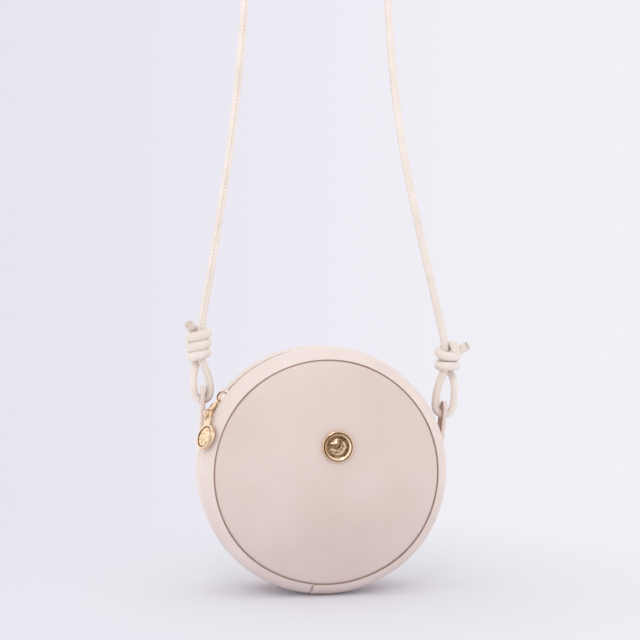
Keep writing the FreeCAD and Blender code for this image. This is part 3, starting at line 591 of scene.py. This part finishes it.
zipTape = {"thick": 0.6, "inner": 1.7, "outer": 9.8, "span": (29.0, 153.0), "steps": 200}
tapeTop = shell["radius"] - shell["valleyDrop"] - leather - shell["gap"]
tapeBottom = tapeTop - zipTape["thick"]
stripBottom = tapeTop - leather
stripLiningTop = stripBottom - shell["gap"]
half = layers["stripHalf"]
mesh = lathe(boxSection(stripBottom, tapeTop, -half, half), layers["stripSteps"], *layers["stripSpan"])
place("gussetStripLeather", mesh, "rimLeather", "bag", ["gusset_strip"])
section = boxSection(stripLiningTop - layers["lining"], stripLiningTop, -half, half)
mesh = lathe(section, layers["stripLiningSteps"], *layers["stripSpan"])
place("stripLiningTwill", mesh, "liningTwill", "bag", ["strip_lining"])
for side, label in sides:
    section = boxSection(tapeBottom, tapeTop, *sorted((side * zipTape["inner"], side * zipTape["outer"])))
    mesh = lathe(section, zipTape["steps"], *zipTape["span"])
    place("zipTapeWeave_" + label, mesh, "zipTape", "bag", ["zip_tape_" + label])
print("shell layers made")

# these metal nodes keep their solids
for node, finish in (("zip_teeth_front", "zipBrass"), ("zip_teeth_back", "zipBrass"), ("zip_stops", "zipBrass"),
                     ("zip_slider", "paleGold"), ("zip_pull_link", "paleGold"), ("zip_pull_medallion", "paleGold"),
                     ("ornament_cup", "paleGold"), ("ornament_washer", "pressedSteel")):
    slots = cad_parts[node].data.materials
    slots.clear()
    slots.append(finishes[finish])

# dented faces of the ornament's inlay and of the medallion's two recesses
dents = {"edge": 1.2, "parts": 72, "steps": 24}
ornament = {"x": 6.0, "z": 19.5, "face": (0, -1, 0), "radius": 8.05, "foot": 0.9, "level": 1.5,
            "bossRadius": 5.8, "bossRise": 1.1, "dentSize": 2.5, "dentDepth": 0.6}
ornament["middle"] = (ornament["x"], domeDepth(math.hypot(ornament["x"], ornament["z"])), ornament["z"])
medal = {"middle": (-86.145, -28.915, 26.57), "face": (-0.8334, -0.4246, 0.3537), "radius": 6.75, "foot": 0.84,
         "level": 0.96, "bossRadius": 4.2, "bossRise": 0.5, "dentSize": 2.0, "dentDepth": 0.9}
# a dark ring sunk in the medallion's groove: painted shade of the recess's wall
groove = {"inner": 6.7, "outer": 7.6, "foot": 0.9, "top": 1.0, "parts": 48}


def dentedFace(sizes, side=1):
    normal = Vector(sizes["face"]).normalized() * side
    middle = Vector(sizes["middle"])
    sphere = (sizes["bossRadius"]**2 + sizes["bossRise"]**2) / (2 * sizes["bossRise"])
    rings = []
    for step in range(1, dents["steps"] + 1):
        radius = sizes["radius"] * step / dents["steps"]
        rise = math.sqrt(sphere**2 - min(radius, sizes["bossRadius"])**2) - sphere + sizes["bossRise"]
        level = sizes["level"] + max(0, rise)
        depth = sizes["dentDepth"] * min(1, (sizes["radius"] - radius) / dents["edge"])
        spots = circlePoints(middle + normal * level, normal, radius, dents["parts"])
        # ridges stand up between the dents
        rings.append([spot + normal * depth * noise.voronoi(spot / sizes["dentSize"])[0][0]**2 for spot in spots])
    rings.append(circlePoints(middle + normal * sizes["foot"], normal, sizes["radius"], dents["parts"]))
    return ringMesh(rings)


# the dark ring round one face of the medallion, as painted shade
def medalGrooveShade(side):
    normal = Vector(medal["face"]).normalized() * side
    corners = ((groove["inner"], groove["foot"]), (groove["inner"], groove["top"]),
               (groove["outer"], groove["top"]), (groove["outer"], groove["foot"]))
    rings = [circlePoints(Vector(medal["middle"]) + normal * level, normal, radius, groove["parts"])
             for radius, level in corners]
    return ringMesh(rings, closed=True)


place("ornamentInlay", dentedFace(ornament), "hammeredGold", "bag", ["ornament_inlay"])
# each side of the medallion: a dented face, and a dark ring of painted shade in its groove
for side, label in ((1, "outer"), (-1, "inner")):
    place("medalFace_" + label, dentedFace(medal, side), "hammeredGold", "medallion")
    place("medalGrooveShade_" + label, medalGrooveShade(side), "paintedGrooveShade", "medallion")

# cast foot of the bail, between its two legs: (distance, half width, half thickness)
lug = {"way": (-0.1356, -0.4633, -0.8757), "pin": (0.53576, -0.77783, 0.32854), "rounding": 5, "edgeShare": 0.8,
       "stations": [(8.4, 3.4, 0.9), (9.2, 3.3, 0.95), (10.4, 3.0, 0.95), (11.6, 2.9, 0.9), (12.6, 2.8, 0.8),
                    (13.0, 2.4, 0.5)]}


def roundedBox(halfWidth, halfThick, edge, steps):
    corners = []
    for acrossSign, outSign, start in ((1, 1, 0), (-1, 1, 90), (-1, -1, 180), (1, -1, 270)):
        middle = (acrossSign * (halfWidth - edge), outSign * (halfThick - edge))
        corners += arcPoints(middle, edge, start, start + 90, steps)
    return corners


def lugMesh():
    down, along = Vector(lug["way"]).normalized(), Vector(lug["pin"]).normalized()
    out = down.cross(along)
    rings = []
    for distance, halfWidth, halfThick in lug["stations"]:
        section = roundedBox(halfWidth, halfThick, halfThick * lug["edgeShare"], lug["rounding"])
        rings.append([Vector(medal["middle"]) - down * distance + along * a + out * b for a, b in section])
    return ringMesh(rings)


place("medalLug", lugMesh(), "paleGold", "medallion")

# cast swelling on the stem between the link's stirrup and its eye: (share of the way, radius)
neck = {"start": (-77.461, -8.6, 48.536), "end": (-83.653, -20.4, 42.666), "sides": 24,
        "profile": [(0.02, 1.2), (0.05, 1.75), (0.14, 2.15), (0.30, 2.3), (0.48, 2.2), (0.62, 1.95), (0.70, 1.7),
                    (0.73, 1.2)]}
start, end = Vector(neck["start"]), Vector(neck["end"])
rings = [circlePoints(start.lerp(end, share), end - start, radius, neck["sides"])
         for share, radius in neck["profile"]]
place("pullNeck", ringMesh(rings), "paleGold", "pull_link")

# side tabs: folded leather, narrow in the valley and wider round the hole
tabs = {"inner": 86.1, "thick": 3.3, "lap": 16.0, "width": 10.0, "topWidth": 14.0, "flareStart": 22.0,
        "flareEnd": 32.0, "top": 59.0, "edge": 1.1, "edgeShare": 0.8, "leastHalf": 0.2, "holeRadius": 4.0,
        "backing": 0.12, "backingFoot": 8.0, "backingFacing": 0.8, "lapSteps": 10, "riseSteps": 20, "roundSteps": 10,
        "edgeSteps": 4, "cutterSides": 40, "cutterDepth": 30,
        "turns": {"right": 6.5, "left": 1.5}, "holes": {"left": (-86.437, 51.280), "right": (92.733, 38.751)}}


def tabHalfWidth(height):
    narrow = tabs["width"] / 2
    half = tabs["topWidth"] / 2
    roundLevel = tabs["top"] - half
    if height > roundLevel:
        return math.sqrt(max(half**2 - (height - roundLevel)**2, tabs["leastHalf"]**2))
    share = (height - tabs["flareStart"]) / (tabs["flareEnd"] - tabs["flareStart"])
    return narrow + (half - narrow) * min(1, max(0, share))


def tabMesh(label):
    middle = tabs["inner"] + tabs["thick"] / 2
    stations = []
    for step in range(tabs["lapSteps"] + 1):
        lap = math.radians(tabs["lap"] * (1 - step / tabs["lapSteps"]))
        stations.append((middle * math.cos(lap), -middle * math.sin(lap), math.cos(lap), -math.sin(lap), 0))
    roundLevel = tabs["top"] - tabs["topWidth"] / 2
    heights = [roundLevel * step / tabs["riseSteps"] for step in range(1, tabs["riseSteps"] + 1)]
    for step in range(1, tabs["roundSteps"] + 1):
        turn = math.radians(90 * step / tabs["roundSteps"])
        heights.append(roundLevel + tabs["topWidth"] / 2 * math.sin(turn))
    stations += [(middle, height, 1, 0, height) for height in heights]
    mirror = -1 if label == "left" else 1
    turn = math.radians(tabs["turns"][label])
    rings = []
    for x, z, outX, outZ, height in stations:
        ring = []
        half = tabHalfWidth(height)
        edge = min(tabs["edge"], half * tabs["edgeShare"])
        for across, out in roundedBox(half, tabs["thick"] / 2, edge, tabs["edgeSteps"]):
            px = (x + out * outX) * mirror
            pz = z + out * outZ
            ring.append((px * math.cos(turn) + pz * math.sin(turn), across,
                         pz * math.cos(turn) - px * math.sin(turn)))
        rings.append(ring)
    return ringMesh(rings)


def fromHole(label, x=0, y=0, z=0):
    holeX, holeZ = tabs["holes"][label]
    return Vector((holeX + x, y, holeZ + z))


def holeCutter(label):
    data = bpy.data.meshes.new("holeCutter")
    bm = bmesh.new()
    bmesh.ops.create_cone(bm, cap_ends=True, segments=tabs["cutterSides"], radius1=tabs["holeRadius"] * mm,
                          radius2=tabs["holeRadius"] * mm, depth=tabs["cutterDepth"] * mm)
    bm.to_mesh(data)
    bm.free()
    cutter = newObject("holeCutter", data)
    cutter.location = atBag(*fromHole(label))
    cutter.rotation_euler = (fromHole("right") - fromHole("left")).to_track_quat("Z", "Y").to_euler()
    return cutter


def tabFleshAndShade(label, mesh):
    # thin brown flesh side on the face towards the bag; its brown is partly the leather's flesh side and partly
    # painted shade
    bm = bmesh.new()
    bm.from_mesh(mesh)
    inward = 1 if label == "left" else -1
    foot = atBag(0, 0, tabs["backingFoot"]).z
    others = [f for f in bm.faces
              if f.normal.x * inward < tabs["backingFacing"] or f.calc_center_median().z < foot]
    bmesh.ops.delete(bm, geom=others, context="FACES")
    for vert in bm.verts:
        vert.co.x += inward * tabs["backing"] * mm
    bmesh.ops.solidify(bm, geom=bm.faces[:], thickness=tabs["backing"] * mm)
    return meshFrom(bm)


def plainMesh(piece):
    bpy.context.view_layer.update()
    return bpy.data.meshes.new_from_object(piece.evaluated_get(bpy.context.evaluated_depsgraph_get()))


for label in ("left", "right"):
    blank = newObject("tabBlank", tabMesh(label))
    cutter = holeCutter(label)
    hole = blank.modifiers.new("hole", "BOOLEAN")
    hole.operation = "DIFFERENCE"
    hole.object = cutter
    hole.solver = "EXACT"
    mesh = plainMesh(blank)
    bpy.data.objects.remove(blank)
    bpy.data.objects.remove(cutter)
    mesh.set_sharp_from_angle(angle=math.radians(sharpAngles["tab"]))
    # the brown layer on the tab's inner face is partly painted shade
    place("tabBacking_" + label, tabFleshAndShade(label, mesh), "edgePaintAndShade", "bag")
    place("tabLeather_" + label, mesh, "rimLeather", "bag", ["tab_" + label])
print("tabs made")

# strap: one rolled cord from tab hole to tab hole, and the knotted ends
strap = {
    "diameter": 5.6, "length": 0.966, "order": 3, "resolution": 8, "bevelSteps": 5, "wrapStep": 30, "plainSpots": 3,
    "strandSwell": 1.06, "drawInTurns": 0.75, "top": [(-13.0, 482.8), (13.0, 482.8)],
    "leftLeg": [(-84.2, 122.0), (-77.6, 160.0), (-66.5, 230.0), (-58.6, 298.0), (-54.2, 360.0), (-51.5, 425.0),
                (-38.0, 460.0)],
    "rightLeg": [(38.0, 460.0), (50.2, 425.0), (50.4, 362.0), (53.0, 305.0), (61.8, 235.0), (77.4, 165.0),
                 (86.8, 125.0)],
}
# loops and knots are measured from their tab holes
loops = {
    "left": [(-6.2, 8.2), (-5.8, 3.4), (-2.4, 0.0), (2.4, -0.1), (5.5, 3.3), (5.8, 11.2), (3.0, 20.7), (-1.1, 29.7),
             (-2.0, 40.2), (-0.7, 53.2)],
    "right": [(8.5, 10.2), (7.9, 3.8), (3.4, -0.4), (-2.4, 0.3), (-5.8, 4.1), (-5.1, 14.8), (-2.5, 23.8),
              (1.3, 32.8), (2.3, 43.3), (1.5, 54.3), (-1.5, 67.8)],
}
knots = {
    "left": {"axis": -2.8, "radius": 6.2, "pitch": 6.9, "sense": 1, "tilt": 1.1, "first": 30.6, "turn": (270, 1260),
             "swell": 1.3, "drawIn": 0.22,
             "strand": [(-6.6, 0, 13.0), (-6.0, 1.5, 19.5), (-4.4, 4.9, 25.5), (-3.8, 7.0, 29.0), (-7.0, 5.0, 29.8)],
             "tail": [(-5.6, 5.0, 50.2), (-7.6, 2.6, 52.2), (-9.8, 0.2, 54.6)]},
    "right": {"axis": 3.7, "radius": 7.0, "pitch": 6.9, "sense": -1, "tilt": -0.05, "first": 36.2, "turn": (270, 720),
              "swell": 1.2, "drawIn": 0.06,
              "strand": [(9.0, 0, 15.2), (9.2, 1.2, 21.5), (8.3, 3.8, 28.5), (6.0, 7.2, 33.0), (8.7, 5.4, 35.4)],
              "tail": [(-1.6, -5.2, 43.8), (-3.6, -0.4, 46.4), (-1.3, 5.0, 47.8), (3.6, 6.8, 48.6), (6.8, 4.4, 50.6),
                       (7.9, -0.6, 52.2), (8.2, -4.8, 50.6), (8.4, -5.0, 46.8), (9.6, -2.0, 45.6), (12.8, -1.0, 47.6),
                       (17.6, -4.4, 51.2)]},
}
cutEnd = {"share": 0.92, "thick": 0.15, "sides": 24}  # share of the cord's radius


def cordCurve(name, node, points, radii=None):
    data = bpy.data.curves.new(name, "CURVE")
    data.dimensions = "3D"
    spline = data.splines.new("NURBS")
    spline.points.add(len(points) - 1)
    for index, (spot, point) in enumerate(zip(spline.points, points)):
        spot.co = (*point, 1)
        spot.radius = radii[index] if radii else 1
    spline.order_u = strap["order"]
    spline.use_endpoint_u = True
    spline.resolution_u = strap["resolution"]
    data.bevel_depth = strap["diameter"] / 2 * mm
    data.bevel_resolution = strap["bevelSteps"]
    data.use_fill_caps = True
    data.materials.append(finishes["cordLeather"])
    piece = newObject(name, data)
    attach(piece, "strap")
    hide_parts(node)
    return piece


def knotPoints(label):
    # the loop's strand goes up behind the barrel, round the wraps and out at the tail
    knot = knots[label]
    startTurn, endTurn = knot["turn"]
    spots = [(loops[label][0][0], 0, loops[label][0][1])] + knot["strand"]
    radii = [1.0] * strap["plainSpots"] + [strap["strandSwell"]] * (len(spots) - strap["plainSpots"])
    for turn in range(startTurn, endTurn + 1, strap["wrapStep"]):
        angle = math.radians(turn)
        whole, share = divmod((turn - startTurn) / 360, 1)
        # the tilt says how much of its pitch a wrap climbs in the half turn before the barrel
        front, behind = min(share, 0.5), max(0, share - 0.5)
        rise = whole + knot["tilt"] * front + (1 - knot["tilt"] / 2) * behind * 2
        reach = knot["radius"] * (1 - knot["drawIn"] * max(0, strap["drawInTurns"] - whole - share))
        spots.append((knot["axis"] + knot["sense"] * reach * math.sin(angle), -reach * math.cos(angle),
                      knot["first"] + knot["pitch"] * rise))
        radii.append(knot["swell"])
    spots += knot["tail"]
    radii += [knot["swell"]] * len(knot["tail"])
    return [atBag(*fromHole(label, *spot)) for spot in spots], radii


def cutEndMesh(label):
    # raw edge of the cord at the end of the knot's tail
    before, tip = (fromHole(label, *spot) for spot in knots[label]["tail"][-2:])
    way = (tip - before).normalized()
    radius = strap["diameter"] / 2 * knots[label]["swell"] * cutEnd["share"]
    rings = [circlePoints(tip + way * level, way, radius, cutEnd["sides"])
             for level in (-cutEnd["thick"], cutEnd["thick"])]
    return ringMesh(rings)


route = [atBag(*fromHole("left", x, 0, z)) for x, z in loops["left"]]
route += [atBag(x, 0, z) for x, z in strap["leftLeg"] + strap["top"] + strap["rightLeg"]]
route += [atBag(*fromHole("right", x, 0, z)) for x, z in reversed(loops["right"])]
strapCord = cordCurve("strapCord", "strap_cord", route)
for label in knots:
    cordCurve("strapKnot_" + label, "knot_" + label, *knotPoints(label))
    place("cordCut_" + label, cutEndMesh(label), "cutLeather", "strap")

# sewn edge of the rolled leather: dashes on a line that turns slowly round the cord
stitching = {"pitch": 2.7, "dash": 1.7, "thick": 0.5, "rise": 0.02, "turn": (-25, 110)}


def makeStitchTree():
    tree = bpy.data.node_groups.new("stitchRow", "GeometryNodeTree")
    for label, kind in (("Geometry", "Geometry"), ("Pitch", "Float"), ("Dash Length", "Float"),
                        ("Dash Thickness", "Float"), ("Thread", "Material")):
        addSocket(tree, label, kind)
    addSocket(tree, "Geometry", "Geometry", "OUTPUT")
    given = addNode(tree, "NodeGroupInput", (-900, 0)).outputs
    end = addNode(tree, "NodeGroupOutput", (900, 0))
    curve = addNode(tree, "GeometryNodeMeshToCurve", (-650, 100))
    spots = addNode(tree, "GeometryNodeCurveToPoints", (-400, 100), mode="LENGTH")
    along = addNode(tree, "FunctionNodeAlignRotationToVector", (-150, -100), axis="Z")
    bead = addNode(tree, "GeometryNodeMeshUVSphere", (-400, -250))
    setInputs(bead, Segments=8, Rings=6, Radius=0.5)
    scale = addNode(tree, "ShaderNodeCombineXYZ", (-400, -450))
    stretch = addNode(tree, "GeometryNodeTransform", (-150, -300))
    rows = addNode(tree, "GeometryNodeInstanceOnPoints", (150, 100))
    solid = addNode(tree, "GeometryNodeRealizeInstances", (400, 100))
    smooth = addNode(tree, "GeometryNodeSetShadeSmooth", (550, 100))
    thread = addNode(tree, "GeometryNodeSetMaterial", (700, 100))
    linkUp(tree, (given["Geometry"], curve.inputs["Mesh"]), (curve.outputs["Curve"], spots.inputs["Curve"]),
           (given["Pitch"], spots.inputs["Length"]), (spots.outputs["Tangent"], along.inputs["Vector"]),
           (given["Dash Thickness"], scale.inputs["X"]), (given["Dash Thickness"], scale.inputs["Y"]),
           (given["Dash Length"], scale.inputs["Z"]), (bead.outputs["Mesh"], stretch.inputs["Geometry"]),
           (scale.outputs["Vector"], stretch.inputs["Scale"]), (spots.outputs["Points"], rows.inputs["Points"]),
           (stretch.outputs["Geometry"], rows.inputs["Instance"]),
           (along.outputs["Rotation"], rows.inputs["Rotation"]), (given["Thread"], thread.inputs["Material"]))
    chain = (rows, solid, smooth, thread, end)
    linkUp(tree, *((near.outputs[0], far.inputs["Geometry"]) for near, far in zip(chain, chain[1:])))
    return tree


def cordMiddle(piece):
    bare = newObject("cordMiddle", piece.data.copy())
    bare.data.bevel_depth = 0
    points = [vertex.co.copy() for vertex in plainMesh(bare).vertices]
    bpy.data.objects.remove(bare)
    return points


def stitchLine(points):
    lengths = [0]
    for a, b in zip(points, points[1:]):
        lengths.append(lengths[-1] + (b - a).length)
    radius = (strap["diameter"] / 2 + stitching["rise"]) * mm
    low, high = stitching["turn"]
    front = Vector((0, -1, 0))
    line = []
    for index, point in enumerate(points):
        way = points[min(index + 1, len(points) - 1)] - points[max(index - 1, 0)]
        turn = math.radians(low + (high - low) * lengths[index] / lengths[-1])
        line.append(point + (front * math.cos(turn) + way.normalized().cross(front) * math.sin(turn)) * radius)
    return line


line = stitchLine(cordMiddle(strapCord))
mesh = bpy.data.meshes.new("stitchLine")
mesh.from_pydata(line, [(i, i + 1) for i in range(len(line) - 1)], [])
stitchGuide = newObject("stitchLine", mesh)
stitchTree = makeStitchTree()
row = stitchGuide.modifiers.new("stitches", "NODES")
row.node_group = stitchTree
settings = {"Pitch": stitching["pitch"] * mm, "Dash Length": stitching["dash"] * mm,
            "Dash Thickness": stitching["thick"] * mm, "Thread": finishes["threadCream"]}
for item in stitchTree.interface.items_tree:
    if item.in_out == "INPUT" and item.name in settings:
        row[item.identifier] = settings[item.name]
stitchMesh = plainMesh(stitchGuide)
bpy.data.objects.remove(stitchGuide)
place("strapStitches", stitchMesh, "threadCream", "strap")
print("stitches made:", len(stitchMesh.vertices))
print("strap made")

# floor and light
studio = {
    "floor": -88.4, "floorSize": 3.0, "floorColour": (0.80, 0.80, 0.86), "floorGlow": 0.02, "floorRoughness": 0.9,
    "fadeFrom": 0.10, "fadeTo": 0.40, "backdropLeft": (0.80, 0.785, 0.865), "backdropRight": (0.885, 0.875, 0.93),
    "room": (0.17, 0.11, 0.07), "tent": (1.25, 1.22, 1.20), "below": (1.16, 1.15, 1.13), "above": (0.92, 0.92, 0.92),
    "paperSpan": (-0.10, 0.36), "roomSpan": (-0.96, -0.40), "skySpan": (-0.8, 0.9),
}
bm = bmesh.new()
bmesh.ops.create_grid(bm, x_segments=2, y_segments=2, size=studio["floorSize"])
floorMesh = bpy.data.meshes.new("studioFloor")
bm.to_mesh(floorMesh)
bm.free()
floor = newObject("studioFloor", floorMesh)
floor.location = atBag(0, 0, studio["floor"])
floorFinish = bpy.data.materials.new("studioFloor")
floorFinish.use_nodes = True
tree = floorFinish.node_tree
shader = tree.nodes["Principled BSDF"]
setInputs(shader, Base_Color=(*studio["floorColour"], 1), Roughness=studio["floorRoughness"], Specular_IOR_Level=0.0,
          Emission_Color=(*studio["backdropRight"], 1), Emission_Strength=studio["floorGlow"])
spot = addNode(tree, "ShaderNodeTexCoord", (-900, -300))
distance = addNode(tree, "ShaderNodeVectorMath", (-700, -300), operation="LENGTH")
fade = addNode(tree, "ShaderNodeMapRange", (-500, -300), interpolation_type="SMOOTHSTEP")
setInputs(fade, From_Min=studio["fadeFrom"], From_Max=studio["fadeTo"])
clear = addNode(tree, "ShaderNodeBsdfTransparent", (-200, -200))
mix = addNode(tree, "ShaderNodeMixShader", (200, 0))
linkUp(tree, (spot.outputs["Object"], distance.inputs[0]), (distance.outputs["Value"], fade.inputs["Value"]),
       (fade.outputs[0], mix.inputs[0]), (shader.outputs[0], mix.inputs[1]), (clear.outputs[0], mix.inputs[2]),
       (mix.outputs[0], tree.nodes["Material Output"].inputs["Surface"]))
floorMesh.materials.append(floorFinish)

# pale paper behind the bag, even light all round it, and a brown room in front for the metal to mirror
world = bpy.data.worlds.new("studio")
scene.world = world
world.use_nodes = True
tree = world.node_tree
direction = addNode(tree, "ShaderNodeTexCoord", (-1300, 0))
parts = addNode(tree, "ShaderNodeSeparateXYZ", (-1100, 0))
linkUp(tree, (direction.outputs["Generated"], parts.inputs[0]))


def blend(source, span, *colours):
    share = addNode(tree, "ShaderNodeMapRange", (-850, 0), interpolation_type="SMOOTHSTEP")
    setInputs(share, From_Min=span[0], From_Max=span[1])
    colour = addNode(tree, "ShaderNodeMix", (-600, 0), data_type="RGBA")
    setInputs(colour, A=(*colours[0], 1), B=(*colours[1], 1))
    light = addNode(tree, "ShaderNodeBackground", (-350, 0))
    linkUp(tree, (parts.outputs[source], share.inputs["Value"]), (share.outputs[0], colour.inputs[0]),
           (socketOf(colour.outputs, "Result"), light.inputs["Color"]))
    return light.outputs[0]


paper = blend("X", studio["paperSpan"], studio["backdropLeft"], studio["backdropRight"])
mirrored = blend("Y", studio["roomSpan"], studio["room"], studio["tent"])
ambient = blend("Z", studio["skySpan"], studio["below"], studio["above"])
path = addNode(tree, "ShaderNodeLightPath", (-700, 300)).outputs
mixMirror = addNode(tree, "ShaderNodeMixShader", (-100, 100))
shown = addNode(tree, "ShaderNodeMath", (-450, 300), operation="MAXIMUM")
mixSeen = addNode(tree, "ShaderNodeMixShader", (150, 0))
linkUp(tree, (path["Is Glossy Ray"], mixMirror.inputs[0]), (ambient, mixMirror.inputs[1]),
       (mirrored, mixMirror.inputs[2]), (path["Is Camera Ray"], shown.inputs[0]),
       (path["Is Transmission Ray"], shown.inputs[1]), (shown.outputs[0], mixSeen.inputs[0]),
       (mixMirror.outputs[0], mixSeen.inputs[1]), (paper, mixSeen.inputs[2]),
       (mixSeen.outputs[0], tree.nodes["World Output"].inputs["Surface"]))

lamps = {
    "keyLamp": {"place": (-250, -950, 700), "size": 0.3, "power": 1.2},
    "topLamp": {"place": (-200, -250, 900), "size": 0.3, "power": 0.35},
}
for name, lamp in lamps.items():
    data = bpy.data.lights.new(name, "AREA")
    data.shape = "DISK"
    data.size = lamp["size"]
    data.energy = lamp["power"]
    lampObject = newObject(name, data)
    lampObject.location = atBag(*lamp["place"])
    aim = atBag(0, 0, 0) - lampObject.location
    lampObject.rotation_euler = aim.to_track_quat("-Z", "Y").to_euler()
print("studio lit")
